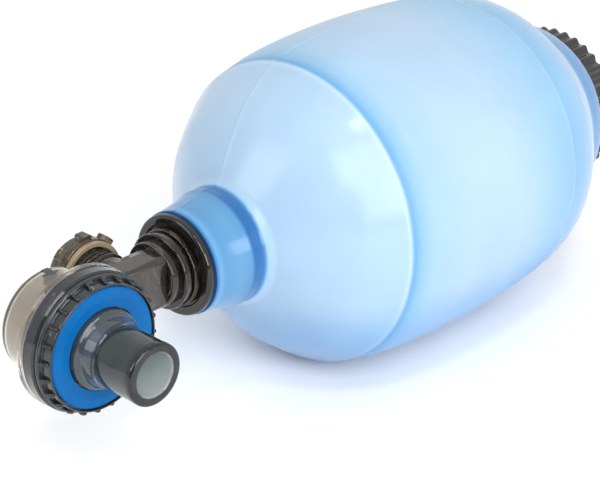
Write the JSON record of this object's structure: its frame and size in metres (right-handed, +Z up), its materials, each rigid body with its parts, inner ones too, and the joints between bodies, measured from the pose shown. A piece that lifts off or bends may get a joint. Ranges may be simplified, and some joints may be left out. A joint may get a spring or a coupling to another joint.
{
  "type": "bag valve mask resuscitator",
  "caption": "Self-inflating silicone resuscitator bag on its side, with a swivelling patient valve head, a relief valve and a knurled rear intake valve.",
  "frame": {"origin": "middle of the small flat under the bag that it rests on, directly below the bag axis", "axes": "+X along the bag axis from the neck to the rear intake, -Y the way the patient port points, +Z up from the surface it rests on"},
  "size_m": [0.3554, 0.1356, 0.1328],
  "materials": {
    "bag_silicone": "translucent light blue silicone, glossy ends and a frosted middle",
    "dark_plastic": "dark smoked, polished",
    "smoke_plastic": "clear smoked, polished",
    "pale_plastic": "clear with a warm tint, polished",
    "amber_plastic": "clear golden brown, polished",
    "tan_plastic": "satin",
    "blue_silicone": "satin opaque silicone",
    "clear_silicone": "satin milky silicone",
    "spring_steel": "drawn wire"
  },
  "bodies": {
    "bag_body": {"bag": "bag_silicone", "neck_flange": "dark_plastic", "rear_socket": "smoke_plastic", "intake_plate": "smoke_plastic", "flap_stud": "smoke_plastic", "rear_ring": "dark_plastic"},
    "valve_head": {"valve_housing": "smoke_plastic", "swivel_seal": "clear_silicone", "swivel_clip": "dark_plastic", "drum_gasket": "blue_silicone", "inlet_seat": "smoke_plastic", "drum_body": "smoke_plastic", "lock_ring": "dark_plastic"},
    "connector": {"patient_connector": "smoke_plastic", "connector_clip": "dark_plastic"},
    "exhalation": {"exhalation_disc": "blue_silicone"},
    "lip": {"lip_valve": "blue_silicone"},
    "relief_mover": {"relief_collar": "tan_plastic"},
    "relief_top": {"relief_cap": "amber_plastic", "relief_dome": "pale_plastic", "relief_spring": "spring_steel"},
    "relief_poppet": {"relief_disc": "clear_silicone"},
    "intake": {"intake_flap": "clear_silicone"},
    "rear_end": {"rear_cover": "pale_plastic", "overflow_stop": "smoke_plastic", "oxygen_nipple": "smoke_plastic"},
    "overflow": {"overflow_flap": "blue_silicone"}
  },
  "joints": [
    {"name": "valve_swivel", "type": "hinge", "parent": "bag_body", "child": "valve_head", "pos_m": [-0.11, 0, 0.065], "axis": [1, 0, 0], "continuous": true},
    {"name": "connector_swivel", "type": "hinge", "parent": "valve_head", "child": "connector", "pos_m": [-0.1785, -0.03, 0.065], "axis": [0, -1, 0], "continuous": true},
    {"name": "exhalation_disc_lift", "type": "slide", "parent": "valve_head", "child": "exhalation", "axis": [0, -1, 0], "range_m": [0, 0.0012], "stiffness_N_per_m": 60, "springref_m": -0.0004},
    {"name": "lip_valve_lift", "type": "slide", "parent": "valve_head", "child": "lip", "axis": [0, -1, 0], "range_m": [0, 0.0015], "stiffness_N_per_m": 60, "springref_m": -0.0004},
    {"name": "relief_cap_advance", "type": "slide", "parent": "valve_head", "child": "relief_mover", "axis": [0, 1, 0], "range_m": [0, 0.001]},
    {"name": "relief_cap_turn", "type": "hinge", "parent": "relief_mover", "child": "relief_top", "pos_m": [-0.147, 0.018, 0.065], "axis": [0, 1, 0], "range_deg": [0, 180]},
    {"name": "relief_disc_lift", "type": "slide", "parent": "valve_head", "child": "relief_poppet", "axis": [0, 1, 0], "range_m": [0, 0.002], "stiffness_N_per_m": 300, "springref_m": -0.002, "deforming": ["relief_spring"]},
    {"name": "intake_flap_lift", "type": "slide", "parent": "bag_body", "child": "intake", "axis": [-1, 0, 0], "range_m": [0, 0.002], "stiffness_N_per_m": 40, "springref_m": -0.0004},
    {"name": "rear_cover_swivel", "type": "hinge", "parent": "bag_body", "child": "rear_end", "pos_m": [0.119, 0, 0.065], "axis": [1, 0, 0], "continuous": true},
    {"name": "overflow_flap_lift", "type": "slide", "parent": "rear_end", "child": "overflow", "axis": [1, 0, 0], "range_m": [0, 0.0012], "stiffness_N_per_m": 30, "springref_m": -0.0004}
  ],
  "couplings": [
    {"joint": "relief_cap_advance", "follows": "relief_cap_turn", "m_per_rad": 0.00031831}
  ]
}
